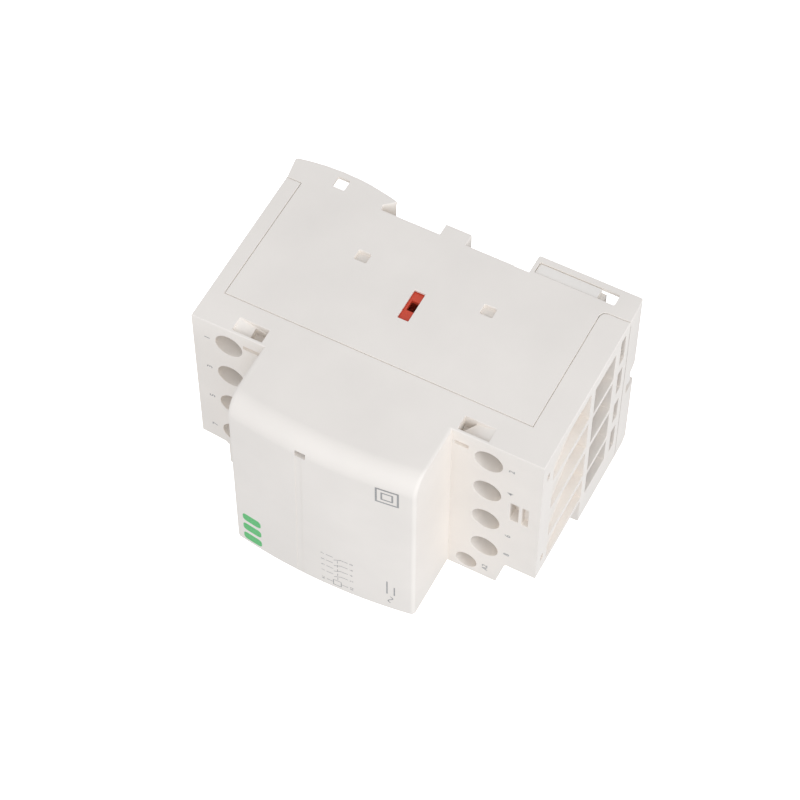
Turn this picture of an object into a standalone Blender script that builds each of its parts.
"""Four-pole modular contactor for a 35 mm DIN rail, three modules wide, lying on its side.

Axes of the finished part: +Z is the width of the device (it lies on one side face), -Y is its front
(the nose), +Y its rail side, -X its upper end (odd terminals, fixed hooks), +X its lower end (even
terminals, sliding clip). Lengths below are millimetres in a design frame whose X = 0 is the middle
of the nose and of the rail, Y = 0 the plane of the shoulders and Z = 0 the lower side face.
"""
import math

import bmesh
import bpy
from mathutils import Vector

for _o in list(bpy.data.objects):
    bpy.data.objects.remove(_o, do_unlink=True)

# ---------------------------------------------------------------- driving dimensions (mm)
WIDTH = 53.5            # three modules of 17.83 mm
NOSE_HALF = 22.4        # half of the 45 mm nose
NOSE_FRONT = -18.3      # crown of the nose
NOSE_CORNER = -16.4     # nose front at its two ends
NOSE_SOFT = 5.0         # large radius between nose front and the upper side face
END_L = -40.3           # upper end wall
END_R = 43.8            # lower end wall
SEAM_Y = 8.35           # seam between front housing and rear base
SEAM_L = -36.8          # seam on the side face, upper end
SEAM_R = 37.05          # seam on the side face, lower end
STRIP_BACK_L = 42.35    # back of the front housing at the upper end
STRIP_BACK_R = 41.85    # back of the front housing at the lower end
RAIL_Y = 44.1           # plane that rests on the rail
FOOT_BACK = 49.6
GAP = 0.3
WALL = 1.6
POLE_Z = (12.8, 24.2, 35.6, 47.0)
POLE_X = 31.3           # screw axes of the poles, +/-
HOLE_X = {1: 31.1, -1: 31.4}   # access holes over the pole screws, lower and upper row
HOLE_RISE = {1: 0.0, -1: 0.4}
COIL_X, COIL_Z = 26.9, 3.8
WIRE_Z = ((8.6, 16.5), (17.7, 27.5), (29.0, 39.1), (40.4, 49.9))       # wire entries
SLOT_Z = ((8.2, 16.4), (19.8, 27.2), (31.3, 39.3), (42.4, 51.2))       # narrow slots behind them
RAMP_Z = ((10.2, 17.6), (19.3, 28.6), (30.6, 39.9), (41.8, 51.1))      # ramped pockets in front of them
SEAM = 0.12             # half of the gap along the seam
FOOT_WALL = 0.9         # side plates of the feet
TRAVEL = 2.4            # stroke of the armature and contact carrier
MID = WIDTH / 2

OX, OY = 1.25, 15.65    # middle of the outline, which becomes X = Y = 0
M = 0.001


# ---------------------------------------------------------------- helpers
def material(name, rgb, rough, metal=0.0):
    m = bpy.data.materials.get(name)
    if m is None:
        m = bpy.data.materials.new(name)
        m.use_nodes = True
        b = m.node_tree.nodes["Principled BSDF"]
        b.inputs["Base Color"].default_value = (*rgb, 1.0)
        b.inputs["Roughness"].default_value = rough
        b.inputs["Metallic"].default_value = metal
        m.diffuse_color = (*rgb, 1.0)
    return m


HOUSING = ("housing_plastic", (0.78, 0.76, 0.73), 0.55)
INNER = ("inner_thermoset", (0.60, 0.57, 0.50), 0.6)
RED = ("carrier_red", (0.62, 0.07, 0.05), 0.5)
STEEL = ("zinc_plated_steel", (0.62, 0.62, 0.60), 0.32, 1.0)
LAMINATE = ("laminated_iron", (0.32, 0.32, 0.33), 0.4, 1.0)
COPPER = ("enamelled_copper", (0.62, 0.26, 0.12), 0.35, 1.0)
BRASS = ("tinned_brass", (0.72, 0.60, 0.38), 0.3, 1.0)
SPRING = ("spring_steel", (0.55, 0.56, 0.58), 0.28, 1.0)
RUBBER = ("black_rubber", (0.03, 0.03, 0.03), 0.8)
BOBBIN = ("bobbin_nylon", (0.05, 0.05, 0.05), 0.5)


def finish(bm, name, mat, origin=(0, 0, 0), cutter=False):
    """Design millimetres -> the part's metres, with the object's origin at `origin` (design mm)."""
    bmesh.ops.recalc_face_normals(bm, faces=bm.faces)
    o = Vector(((origin[0] - OX) * M, (origin[1] - OY) * M, origin[2] * M))
    for v in bm.verts:
        v.co = Vector(((v.co.x - OX) * M, (v.co.y - OY) * M, v.co.z * M)) - o
    me = bpy.data.meshes.new(name)
    bm.to_mesh(me)
    bm.free()
    if me.polygons:
        me.shade_smooth()
        me.set_sharp_from_angle(angle=math.radians(32))
    ob = bpy.data.objects.new(name, me)
    ob.location = o
    bpy.context.scene.collection.objects.link(ob)
    if cutter:
        ob.hide_render = True
        ob.display_type = "WIRE"
    else:
        me.materials.append(material(*mat))
    return ob


def add_box(bm, x0, x1, y0, y1, z0, z1):
    vs = [bm.verts.new((x, y, z)) for x in (x0, x1) for y in (y0, y1) for z in (z0, z1)]
    for f in ((0, 1, 3, 2), (4, 6, 7, 5), (0, 4, 5, 1), (2, 3, 7, 6), (0, 2, 6, 4), (1, 5, 7, 3)):
        bm.faces.new([vs[i] for i in f])


def add_prism(bm, pts, axis, a0, a1):
    """Extrudes a closed outline. axis 'z': pts are (x, y); 'x': (y, z); 'y': (x, z)."""
    def at(p, a):
        return {"z": (p[0], p[1], a), "x": (a, p[0], p[1]), "y": (p[0], a, p[1])}[axis]
    lo = [bm.verts.new(at(p, a0)) for p in pts]
    hi = [bm.verts.new(at(p, a1)) for p in pts]
    n = len(pts)
    bm.faces.new(lo)
    bm.faces.new(list(reversed(hi)))
    for i in range(n):
        bm.faces.new((lo[i], hi[i], hi[(i + 1) % n], lo[(i + 1) % n]))


def add_wedge(bm, x0, x1, y0, y1, top, depth):
    """Pocket with a tilted floor below `top`: depth[i] is (at y1, at y0) for x0 and x1."""
    vs = []
    for x, (back, front) in zip((x0, x1), depth):
        for y, d in ((y0, front), (y1, back)):
            vs += [bm.verts.new((x, y, top - d)), bm.verts.new((x, y, top + 1.0))]
    for f in ((0, 1, 3, 2), (4, 6, 7, 5), (0, 4, 5, 1), (2, 3, 7, 6), (0, 2, 6, 4), (1, 5, 7, 3)):
        bm.faces.new([vs[i] for i in f])


def circle(cx, cy, r, n=20, start=0.0):
    return [(cx + r * math.cos(start + 2 * math.pi * i / n), cy + r * math.sin(start + 2 * math.pi * i / n)) for i in range(n)]


def new():
    return bmesh.new()


def box(name, mat, *b, origin=(0, 0, 0)):
    bm = new()
    add_box(bm, *b)
    return finish(bm, name, mat, origin)


def boolean(ob, op, build):
    """Applies one Boolean with a helper solid made by build(bm)."""
    bm = new()
    build(bm)
    c = finish(bm, "cut_" + ob.name + "_%02d" % len(ob.modifiers), None, cutter=True)
    m = ob.modifiers.new(op.lower() + "_%02d" % len(ob.modifiers), "BOOLEAN")
    m.operation = op
    m.solver = "EXACT"
    m.object = c
    return c


def cut_box(ob, *b):
    boolean(ob, "DIFFERENCE", lambda bm: add_box(bm, *b))


def cut_prism(ob, pts, axis, a0, a1):
    boolean(ob, "DIFFERENCE", lambda bm: add_prism(bm, pts, axis, a0, a1))


def join_box(ob, *b):
    boolean(ob, "UNION", lambda bm: add_box(bm, *b))


def join_prism(ob, pts, axis, a0, a1):
    boolean(ob, "UNION", lambda bm: add_prism(bm, pts, axis, a0, a1))


NOTCH_BACK = 22.8


def NOTCH(s):
    """Outline in X and Z of the notch beside a coil terminal."""
    return [(s * 34.3, -1), (s * 34.3, 0.6), (s * 35.9, 7.4), (s * 36.5, 8.8), (s * 48, 8.8), (s * 48, -1)]


# at the upper end the front housing is cut back to the flank of the nose
NOTCH_L = [(-33.5, -1), (-33.5, 7.6), (-34.3, 8.3), (-40.3, 9.05), (-48, 9.05), (-48, -1)]


def nose_y(x, offset=0.0):
    """Arched front of the nose."""
    return NOSE_FRONT + offset + (NOSE_CORNER - NOSE_FRONT) * (x / NOSE_HALF) ** 2


def loft_nose(bm, half, offset, back, z0, z1, soft_top, soft_bottom, stations=13):
    """The arched, soft-edged nose: sections across X, each an outline in Y and Z."""
    rings = []
    for i in range(stations):
        x = -half + 2 * half * i / (stations - 1)
        yf = nose_y(x, offset)
        ring = [(back, z0)]
        for k in range(3):
            a = math.pi / 2 * k / 2
            ring.append((yf + soft_bottom * (1 - math.sin(a)), z0 + soft_bottom * (1 - math.cos(a))))
        for k in range(7):
            a = math.pi / 2 * k / 6
            ring.append((yf + soft_top * (1 - math.cos(a)), z1 - soft_top * (1 - math.sin(a))))
        ring.append((back, z1))
        rings.append([bm.verts.new((x, y, z)) for y, z in ring])
    n = len(rings[0])
    for a, b in zip(rings, rings[1:]):
        for k in range(n):
            bm.faces.new((a[k], a[(k + 1) % n], b[(k + 1) % n], b[k]))
    bm.faces.new(rings[0])
    bm.faces.new(list(reversed(rings[-1])))


def coil(bm, x, y0, y1, z, radius, wire, turns, seg=10, sides=5):
    """A compression spring along Y, its end turns closed flat, as one swept tube."""
    n = int(turns * seg)
    rings = []
    for i in range(n + 1):
        t = i / n
        # end turns lie close together and the middle opens out
        s = min(max((t - 0.5 / turns) / (1 - 1.0 / turns), 0.0), 1.0)
        a = 2 * math.pi * turns * t
        y = y0 + wire + (y1 - y0 - 2 * wire) * s
        c = Vector((x + radius * math.cos(a), y, z + radius * math.sin(a)))
        out = Vector((math.cos(a), 0, math.sin(a)))
        up = Vector((0, 1, 0))
        rings.append([bm.verts.new(c + wire * 0.9 * (out * math.cos(2 * math.pi * k / sides) + up * math.sin(2 * math.pi * k / sides))) for k in range(sides)])
    for a, b in zip(rings, rings[1:]):
        for k in range(sides):
            bm.faces.new((a[k], a[(k + 1) % sides], b[(k + 1) % sides], b[k]))
    bm.faces.new(rings[0])
    bm.faces.new(list(reversed(rings[-1])))


def coil_x(bm, x0, x1, y, z, radius, wire, turns, seg=10, sides=5):
    n = int(turns * seg)
    rings = []
    for i in range(n + 1):
        t = i / n
        s = min(max((t - 0.5 / turns) / (1 - 1.0 / turns), 0.0), 1.0)
        a = 2 * math.pi * turns * t
        c = Vector((x0 + wire + (x1 - x0 - 2 * wire) * s, y + radius * math.cos(a), z + radius * math.sin(a)))
        out = Vector((0, math.cos(a), math.sin(a)))
        up = Vector((1, 0, 0))
        rings.append([bm.verts.new(c + wire * 0.9 * (out * math.cos(2 * math.pi * k / sides) + up * math.sin(2 * math.pi * k / sides))) for k in range(sides)])
    for a, b in zip(rings, rings[1:]):
        for k in range(sides):
            bm.faces.new((a[k], a[(k + 1) % sides], b[(k + 1) % sides], b[k]))
    bm.faces.new(rings[0])
    bm.faces.new(list(reversed(rings[-1])))


# ---------------------------------------------------------------- front housing
def front_housing():
    bm = new()
    add_prism(bm, [
        (END_L, 0), (-NOSE_HALF + 0.5, 0), (NOSE_HALF - 0.5, 0), (END_R, 0), (END_R, STRIP_BACK_R + 0.15),
        (42.0, STRIP_BACK_R), (38.6, STRIP_BACK_R), (37.6, STRIP_BACK_R - 0.4), (SEAM_R + SEAM, STRIP_BACK_R - 1.3), (SEAM_R + SEAM, SEAM_Y - SEAM),
        (SEAM_L - SEAM, SEAM_Y - SEAM), (SEAM_L - SEAM, STRIP_BACK_L), (END_L - 0.2, STRIP_BACK_L)], "z", 0, WIDTH)
    ob = finish(bm, "front_housing", HOUSING)
    boolean(ob, "UNION", lambda b: loft_nose(b, NOSE_HALF, 0.0, 4.0, 0.0, WIDTH, NOSE_SOFT, 0.8))
    # hollow of the nose, open to the rear
    boolean(ob, "DIFFERENCE", lambda b: loft_nose(b, NOSE_HALF - 1.8, 1.7, 20.0, 1.8, WIDTH - 1.8, 4.0, 0.4))
    # notch beside each coil terminal, at the lower side face
    for s, end in ((1, END_R), (-1, END_L)):
        cut_prism(ob, NOTCH(s) if s > 0 else NOTCH_L, "y", -1, NOTCH_BACK)
    # access holes over the terminal screws
    for s in (1, -1):
        for z in POLE_Z:
            cut_prism(ob, circle(s * HOLE_X[s], z + HOLE_RISE[s], 3.3, 28), "y", -1, 12)
        cut_prism(ob, circle(s * COIL_X, COIL_Z, 2.55, 20), "y", -1, 12)
        cut_box(ob, *sorted((s * 23.5, s * 30.9)), 7.0, 10.0, 1.4, 6.2)
    # label pockets at the upper side face, and the small slot under each rim
    for s, a, b, z in ((1, 22.5, 26.3, 48.5), (-1, 23.6, 27.7, 48.7)):
        boolean(ob, "DIFFERENCE", lambda bm: add_wedge(bm, s * 23.4, s * 30.6, 0.7, 4.2, WIDTH, ((2.1, 3.0), (0.06, 0.96))))
        cut_box(ob, *sorted((s * a, s * b)), -1, 1.0, z, z + 1.3)
    # twin slots of the marker holder on the lower shoulder, and their twins on the upper one
    for s in (1, -1):
        for a, b, d in ((36.7, 38.7, 5.0), (39.5, 41.0, 1.6)):
            cut_box(ob, *sorted((s * a, s * b if s > 0 else s * min(b, 39.6))), -1, d, 28.3, 34.9) if s > 0 else None
    # end walls: wire entries, ramped pockets in front of them, inspection slots behind them
    for s, end in ((1, END_R), (-1, END_L)):
        deep = 4.2 if s > 0 else 2.2
        for wire, slot, ramp in zip(WIRE_Z, SLOT_Z, RAMP_Z):
            cut_box(ob, *sorted((s * 36.0, end + s * 2)), 25.2, 35.4, *wire)
            cut_box(ob, *sorted((s * 36.0, end + s * 2)), 37.9, 40.3, *slot)
            cut_prism(ob, [(end + s * 1, 5.2), (end - s * 0.35, 5.2), (end - s * 1.5, 18.4), (end - s * deep, 18.6),
                           (end - s * deep, 22.9), (end + s * 1, 22.9)], "z", *ramp)
        for z in (46.7, 14.0):
            cut_box(ob, *sorted((end - s * 1.2, end + s * 1)), 2.2, 3.4, z - 1.2, z + 1.2)
    # state window in the nose, with the shallow strip below it
    cut_box(ob, -5.2, -2.5, -20, -14, 47.5, 50.0)
    cut_prism(ob, [(-5.15, 47.8), (-3.5, 47.8), (-4.35, -1), (-5.95, -1)], "y", -20, nose_y(-4.7) + 0.16)
    return ob


# ---------------------------------------------------------------- rear base
def base_outline():
    """Side plate of the rear base with its two rail feet."""
    pts = [(SEAM_L + SEAM, SEAM_Y + SEAM), (SEAM_R - SEAM, SEAM_Y + SEAM), (SEAM_R - SEAM, STRIP_BACK_R - 1.2), (37.45, STRIP_BACK_R - 0.15), (38.5, STRIP_BACK_R + 2 * SEAM),
           (42.0, STRIP_BACK_R + 2 * SEAM), (END_R, STRIP_BACK_R + 0.15 + 2 * SEAM), (END_R - 0.05, 46.5), (END_R - 0.35, 48.9), (END_R - 0.8, 49.1), (19.0, 49.1), (18.6, 48.8), (18.6, RAIL_Y - 0.12),
           (15.0, RAIL_Y - 0.12), (15.0, RAIL_Y), (3.2, RAIL_Y), (3.2, 47.0), (2.9, 47.2), (-2.9, 47.2), (-3.2, 47.0), (-3.2, RAIL_Y), (-17.7, RAIL_Y), (-17.9, 45.3),
           (-15.6, 47.4), (-15.5, 47.7), (-17.6, 48.25), (-19.7, 48.65), (-22.8, 49.2), (-26.0, 49.5), (-30.0, FOOT_BACK), (-34.2, 49.4), (-38.0, 48.9), (-40.8, 48.35),
           (-41.3, 47.9), (-40.45, STRIP_BACK_L + 2 * SEAM), (SEAM_L + SEAM, STRIP_BACK_L + 2 * SEAM)]
    return pts


def rear_base():
    bm = new()
    add_prism(bm, base_outline(), "z", 0, WIDTH)
    ob = finish(bm, "rear_base", HOUSING)
    # one hollow between the two side plates, open to the front, from end to end
    cut_box(ob, -60, 60, 0, 42.3, WALL, WIDTH - WALL)
    # feet: thin plates with two stiffening ribs, open to the back
    for z0, z1 in ((FOOT_WALL, 16.4), (18.0, 35.5), (37.1, WIDTH - FOOT_WALL)):
        cut_prism(ob, [(-39.2, 43.6), (-18.6, 43.6), (-17.0, 44.5), (-12.0, 44.5), (-12.0, 60), (-39.2, 60)], "z", z0, z1)
    cut_prism(ob, [(17.5, 44.6), (20.2, 44.6), (20.2, 43.6), (42.3, 43.6), (42.3, 60), (17.5, 60)], "z", FOOT_WALL, WIDTH - FOOT_WALL)
    # see-through holes and the slots that guide the clip
    cut_box(ob, -30.4, -27.4, 44.9, 47.9, -1, WIDTH + 1)
    cut_box(ob, 19.6, 38.7, 44.4, 47.45, -1, WIDTH + 1)
    # notch of the clip's pull tab in the end wall
    cut_box(ob, 41, 46, 44.2, 60, 23.4, 29.8)
    # rear walls behind the front housing's end walls, and the terminal partitions
    for s in (1, -1):
        x_out = 36.7 if s > 0 else -36.45
        for z in (18.5, 29.9, 41.3):
            join_box(ob, *sorted((s * 24.2, x_out)), 9.2, 42.6, z - 0.75, z + 0.75)
        # wall between the terminal chambers and the contact chambers
        join_box(ob, *sorted((s * 23.0, s * 24.4)), 24.75, 42.6, 1.0, WIDTH - 1.0)
        # stepped liner that closes the inside from the notch of the coil terminal
        cut_prism(ob, NOTCH(s), "y", -1, NOTCH_BACK)
        join_prism(ob, [(s * 33.0, 0.3), (s * 34.3, 0.3), (s * 34.3, 0.6), (s * 35.9, 7.4), (s * 36.2, 8.1), (x_out, 8.1),
                        (x_out, 9.4), (s * 36.0, 9.4), (s * 35.0, 7.6), (s * 33.0, 0.8)], "y", SEAM_Y + 0.25, NOTCH_BACK + 0.6)
        join_box(ob, *sorted((s * 33.2, x_out)), NOTCH_BACK, NOTCH_BACK + 1.2, 0.4, 8.0)
        cut_box(ob, *sorted((s * 32.0, s * 38.0)), 10.2, 14.8, 1.8, 6.2)
    # blind square dimples and the slot over the contact carrier, with its guide groove inside
    for x, y in ((-15.2, 30.8), (15.5, 30.5)):
        cut_box(ob, x - 1.5, x + 1.5, y - 1.35, y + 1.35, WIDTH - 1.0, WIDTH + 1)
    cut_box(ob, -2.6, 3.1, 11.0, 33.0, WIDTH - 3, WIDTH - 0.6)
    cut_box(ob, -1.1, 1.6, 20.0, 28.2, WIDTH - 3, WIDTH + 1)
    return ob


# ---------------------------------------------------------------- DIN clip and its spring
def din_clip():
    bm = new()
    y0, y1 = 44.7, 47.15
    add_prism(bm, [(19.9, 0.5), (35.8, 0.5), (35.8, 17.0), (38.4, 20.0), (38.4, 24.3), (43.4, 24.3), (43.4, 28.9), (38.4, 28.9),
                   (38.4, 33.5), (35.8, 36.5), (35.8, WIDTH - 0.5), (19.9, WIDTH - 0.5), (19.9, 48.6), (15.6, 48.6), (15.6, 4.9), (19.9, 4.9)], "y", y0, y1)
    ob = finish(bm, "din_clip", HOUSING, origin=(35.2, 46.0, MID))
    # front of the catch, clear of the rail's flange
    cut_box(ob, 14, 19.2, 44, 45.2, -1, WIDTH + 1)
    # ramp of the catch, window for the spring, slot for a screwdriver
    cut_prism(ob, [(14, 45.9), (14, 48), (18.0, 48)], "z", -1, WIDTH + 1)
    cut_box(ob, 24.0, 33.6, 44, 48, 23.6, 29.9)
    cut_box(ob, 40.6, 42.2, 44, 48, 25.4, 27.8)
    return ob


def clip_spring():
    bm = new()
    coil_x(bm, 24.3, 30.4, 46.0, MID, 0.75, 0.18, 7, seg=8, sides=4)
    return finish(bm, "clip_spring", SPRING)


# ---------------------------------------------------------------- magnet
def magnet():
    z0, z1 = MID - 10, MID + 10
    bm = new()
    add_prism(bm, [(-17.5, -13.0), (17.5, -13.0), (17.5, 6.0), (12.5, 6.0), (12.5, -7.2), (4.5, -7.2), (4.5, 6.0), (-4.5, 6.0),
                   (-4.5, -7.2), (-12.5, -7.2), (-12.5, 6.0), (-17.5, 6.0)], "z", z0, z1)
    core = finish(bm, "magnet_core", LAMINATE)
    for s in (1, -1):
        cut_box(core, *sorted((s * 14.2, s * 15.8)), 3.0, 7.0, z0 - 1, z1 + 1)
    # shading rings sit in the slots and round the outer half of each outer pole
    for s, name in ((1, "shading_ring_right"), (-1, "shading_ring_left")):
        ring = box(name, COPPER, *sorted((s * 14.5, s * 18.8)), 3.6, 5.2, z0 - 1.3, z1 + 1.3)
        cut_box(ring, *sorted((s * 15.5, s * 17.8)), 3, 6, z0 - 0.3, z1 + 0.3)
    # laminated armature, with the pole pads that meet the core
    bm = new()
    add_prism(bm, [(-17.5, 13.4), (-17.5, 8.6), (-12.5, 8.6), (-12.5, 9.2), (-4.5, 9.2), (-4.5, 8.7), (4.5, 8.7), (4.5, 9.2),
                   (12.5, 9.2), (12.5, 8.6), (17.5, 8.6), (17.5, 13.4)], "z", z0, z1)
    arm = finish(bm, "armature", LAMINATE)
    # bobbin round the centre leg
    bob = box("coil_bobbin", BOBBIN, -5.8, 5.8, -6.9, 5.7, MID - 11.3, MID + 11.3)
    for a, b in ((-6.9, -5.7), (4.5, 5.7)):
        join_box(bob, -12.2, 12.2, a, b, MID - 17.7, MID + 17.7)
    cut_box(bob, -4.8, 4.8, -9, 9, MID - 10.3, MID + 10.3)
    # winding: a rounded rectangular ring
    def rr(hx, hz, r):
        pts = []
        for cx, cz, a0 in ((hx - r, hz - r, 0), (-hx + r, hz - r, 90), (-hx + r, -hz + r, 180), (hx - r, -hz + r, 270)):
            for k in range(5):
                a = math.radians(a0 + 22.5 * k)
                pts.append((cx + r * math.cos(a), MID + cz + r * math.sin(a)))
        return pts
    bm = new()
    add_prism(bm, rr(11.9, 17.3, 4.0), "y", -5.4, 4.2)
    wind = finish(bm, "coil_winding", COPPER)
    cut_box(wind, -6.1, 6.1, -8, 8, MID - 11.6, MID + 11.6)
    box("magnet_pad", RUBBER, -9.0, 9.0, -15.9, -13.3, MID - 8.0, MID + 8.0)
    return core, arm, bob, wind


def return_springs():
    for z, name in ((MID - 14.2, "return_spring_lower"), (MID + 14.2, "return_spring_upper")):
        bm = new()
        coil(bm, 0.0, 6.0, 13.4, z, 2.2, 0.24, 6, seg=10, sides=5)
        finish(bm, name, SPRING)


# ---------------------------------------------------------------- moving contacts
def contact_carrier():
    """Red carrier: a cross plate behind the armature, one windowed arm for each pole, and the ear under the side slot."""
    ob = box("contact_carrier", RED, -9.5, 9.5, 13.7, 17.6, 5.0, 51.2)
    for z in POLE_Z:
        join_box(ob, -3.2, 3.2, 17.0, 39.0, z - 3.6, z + 3.6)
        cut_box(ob, -5.0, 5.0, 27.8, 37.3, z - 2.7, z + 2.7)
    # ear that shows through the slot of the side face, with its square hole
    join_box(ob, -1.9, 2.4, 14.0, 31.0, 50.3, 52.6)
    # undercut behind the ear, and its square hole
    cut_box(ob, -5.0, 5.0, 20.8, 27.2, 47.5, 51.7)
    cut_box(ob, -1.2, 1.7, 22.8, 26.2, 51.0, 54)
    return ob


def state_flag():
    """Flag on a flat stem: it runs forward from the carrier, past the coil, to the window in the nose."""
    bm = new()
    add_prism(bm, [(13.4, 45.4), (13.4, 48.6), (11.0, 48.6), (9.6, 48.0), (-9.4, 48.0), (-10.6, 49.4), (-12.6, 49.4), (-12.6, 45.9), (-10.6, 45.9),
                   (-9.4, 46.4), (9.6, 46.4), (11.0, 45.4)], "x", -5.6, -2.2)
    return finish(bm, "state_flag", RED)


def bridges():
    for i, z in enumerate(POLE_Z, 1):
        ob = box("contact_bridge_%d" % i, BRASS, -12.2, 12.2, 28.1, 29.3, z - 2.1, z + 2.1)
        for s in (1, -1):
            join_prism(ob, circle(s * 9.9, z, 2.0, 14), "y", 27.3, 28.5)
        bm = new()
        coil(bm, 0.0, 29.6, 37.0, z, 1.55, 0.2, 6, seg=9, sides=5)
        finish(bm, "contact_spring_%d" % i, SPRING)


def fixed_contacts():
    for s, row in ((-1, "upper"), (1, "lower")):
        for i, z in enumerate(POLE_Z, 1):
            ob = box("fixed_contact_%s_%d" % (row, i), BRASS, *sorted((s * 7.4, s * 35.6)), 23.0, 24.4, z - 3.1, z + 3.1)
            join_prism(ob, circle(s * 9.9, z, 2.2, 14), "y", 24.0, 25.4)


def contact_block():
    """Moulded frame between the poles: it carries the fixed contacts and keeps the arcs apart."""
    z0, z1 = 2.0, WIDTH - 2.0
    ob = box("contact_block", INNER, -22.0, 22.0, 19.6, 21.0, z0, 50.0)
    # passages for the carrier's arms
    for z in POLE_Z:
        cut_box(ob, -3.7, 3.7, 18, 23, z - 4.1, z + 4.1 if z < 40 else 53)
    for z in (18.5, 29.9, 41.3):
        join_box(ob, -22.6, 22.6, 20.3, 41.9, z - 0.7, z + 0.7)
    # ledges that the contact bars lie on
    for s in (1, -1):
        for z in POLE_Z:
            join_box(ob, *sorted((s * 13.0, s * 21.5)), 20.5, 22.7, z - 3.0, z + 3.0)
    join_box(ob, -22.0, 22.0, 20.0, 41.9, 2.0, 3.4)
    return ob


# ---------------------------------------------------------------- terminals
def terminals():
    for s, row in ((-1, "upper"), (1, "lower")):
        for i, z in enumerate(POLE_Z, 1):
            x = s * POLE_X
            # cage: a ring round the bar, its front wall tapped for the screw
            bm = new()
            y0, y1 = 18.0, 35.2
            add_box(bm, x - 3.9, x + 3.9, y0, y1, z - 4.2, z + 4.2)
            cage = finish(bm, "clamp_cage_%s_%d" % (row, i), STEEL, origin=(x, 19.0, z))
            cut_box(cage, x - 6, x + 6, y0 + 2.0, y1 - 1.8, z - 3.5, z + 3.5)
            cut_prism(cage, circle(x, z, 2.75, 16), "y", y0 - 1, y0 + 3)
            # screw: head with a cross recess, shank to the bar
            bm = new()
            add_prism(bm, circle(x, z, 2.9, 20), "y", 9.6, 12.4)
            sc = finish(bm, "terminal_screw_%s_%d" % (row, i), STEEL, origin=(x, 12.4, z))
            join_prism(sc, circle(x, z, 2.35, 16), "y", 12.2, 22.7)
            cut_box(sc, x - 2.0, x + 2.0, 9.0, 10.9, z - 0.4, z + 0.4)
            cut_box(sc, x - 0.4, x + 0.4, 9.0, 10.9, z - 2.0, z + 2.0)
        # coil terminal: smaller screw, cage and the tab that leads to the winding
        x, z = s * COIL_X, COIL_Z
        bm = new()
        add_box(bm, x - 2.9, x + 3.4, 8.9, 17.0, z - 1.95, z + 1.95) if s > 0 else add_box(bm, x - 3.4, x + 2.9, 8.9, 17.0, z - 1.95, z + 1.95)
        cage = finish(bm, "coil_cage_%s" % row, STEEL, origin=(x, 9.5, z))
        cut_box(cage, x - 6, x + 6, 10.1, 16.0, z - 1.45, z + 1.45)
        cut_prism(cage, circle(x, z, 1.75, 12), "y", 8, 11)
        bm = new()
        add_prism(bm, circle(x, z, 2.2, 16), "y", 4.6, 6.4)
        sc = finish(bm, "coil_screw_%s" % row, STEEL, origin=(x, 6.4, z))
        join_prism(sc, circle(x, z, 1.4, 12), "y", 6.2, 11.3)
        cut_box(sc, x - 1.5, x + 1.5, 4.0, 5.4, z - 0.3, z + 0.3)
        cut_box(sc, x - 0.3, x + 0.3, 4.0, 5.4, z - 1.5, z + 1.5)
        tab = box("coil_tab_%s" % row, BRASS, *sorted((s * 13.0, s * 30.6)), 11.6, 12.4, z - 1.1, z + 1.1)
        join_box(tab, *sorted((s * 13.0, s * 14.0)), 6.2, 12.4, z - 1.1, z + 1.1)
        join_box(tab, *sorted((s * 12.9, s * 14.0)), 6.2, 7.2, z - 1.1, z + 6.0)


front_housing()
rear_base()
din_clip()
clip_spring()
magnet()
return_springs()
contact_carrier()
state_flag()
bridges()
fixed_contacts()
contact_block()
terminals()
